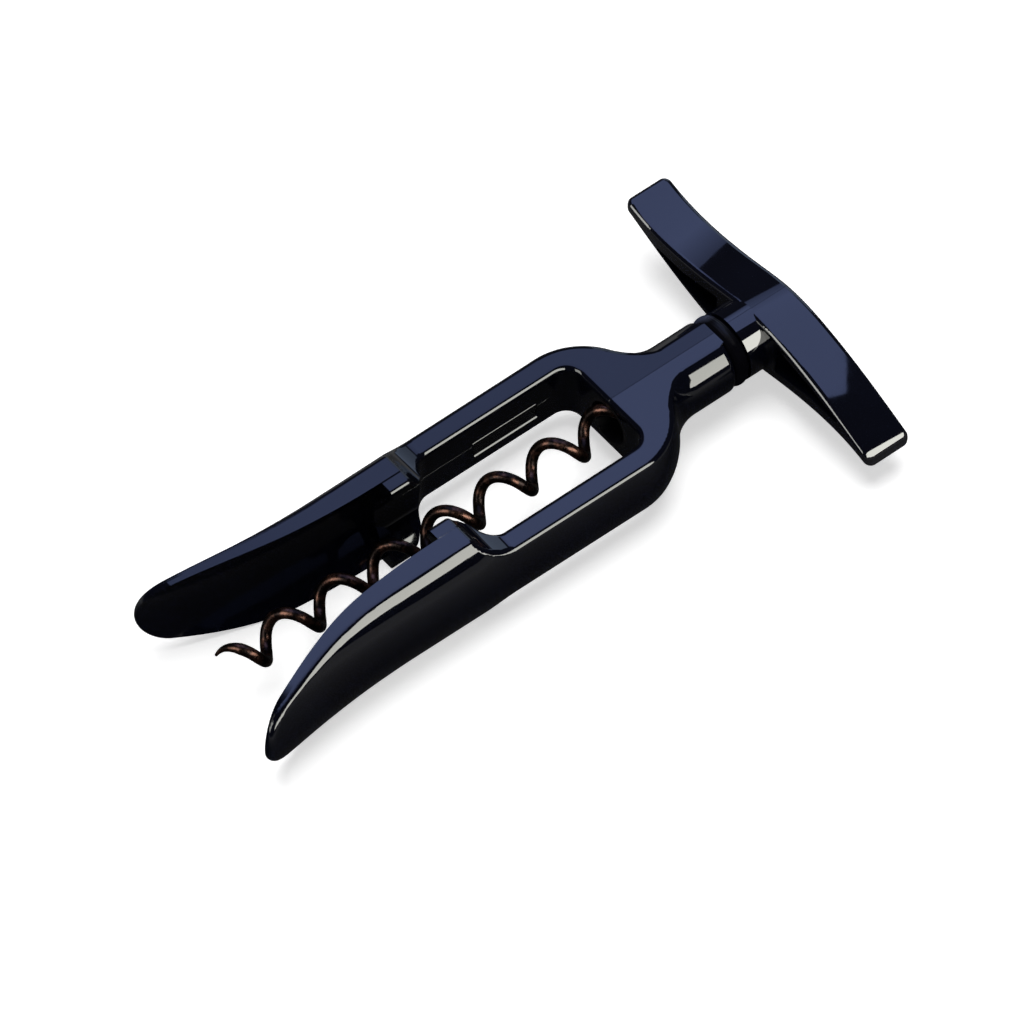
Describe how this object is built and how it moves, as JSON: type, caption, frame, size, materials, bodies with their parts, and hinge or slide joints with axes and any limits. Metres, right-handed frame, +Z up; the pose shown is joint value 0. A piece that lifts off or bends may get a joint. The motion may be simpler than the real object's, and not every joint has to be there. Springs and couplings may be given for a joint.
{
  "type": "corkscrew",
  "caption": "Table corkscrew that pulls by steady turning: a T-handle drives a long coated worm through a slotted frame whose flared legs stand over a bottle neck.",
  "frame": {"origin": "under the middle of the whole object's box, on the surface that the legs lie on", "axes": "+X along the worm from its point to the handle, +Z up, square to the frame's flats, +Y across, along the handle"},
  "size_m": [0.1512, 0.078, 0.0254],
  "materials": {
    "black_gloss_moulding": "polished black moulding",
    "black_pad": "smooth black moulding",
    "dark_bush": "plain dark sleeve",
    "dark_collar": "satin black bead",
    "coated_steel": "non-stick coating, dark brown, thin on the crowns",
    "ferrule_brass": "turned"
  },
  "bodies": {
    "frame": {"frame_far": "black_gloss_moulding", "frame_near": "black_gloss_moulding", "stop_pad_far": "black_pad", "stop_pad_near": "black_pad", "rail_plate_far": "black_gloss_moulding", "rail_plate_near": "black_gloss_moulding", "guide_bush": "dark_bush"},
    "collar": {"thrust_collar": "dark_collar"},
    "screw": {"handle_far": "black_gloss_moulding", "handle_near": "black_gloss_moulding", "drive_ferrule": "ferrule_brass", "worm": "coated_steel"}
  },
  "joints": [
    {"name": "handle_lift", "type": "slide", "parent": "frame", "child": "collar", "axis": [1, 0, 0], "range_m": [0, 0.1]},
    {"name": "handle_spin", "type": "hinge", "parent": "collar", "child": "screw", "pos_m": [0.05772, 0, 0.0127], "axis": [1, 0, 0], "continuous": true}
  ]
}
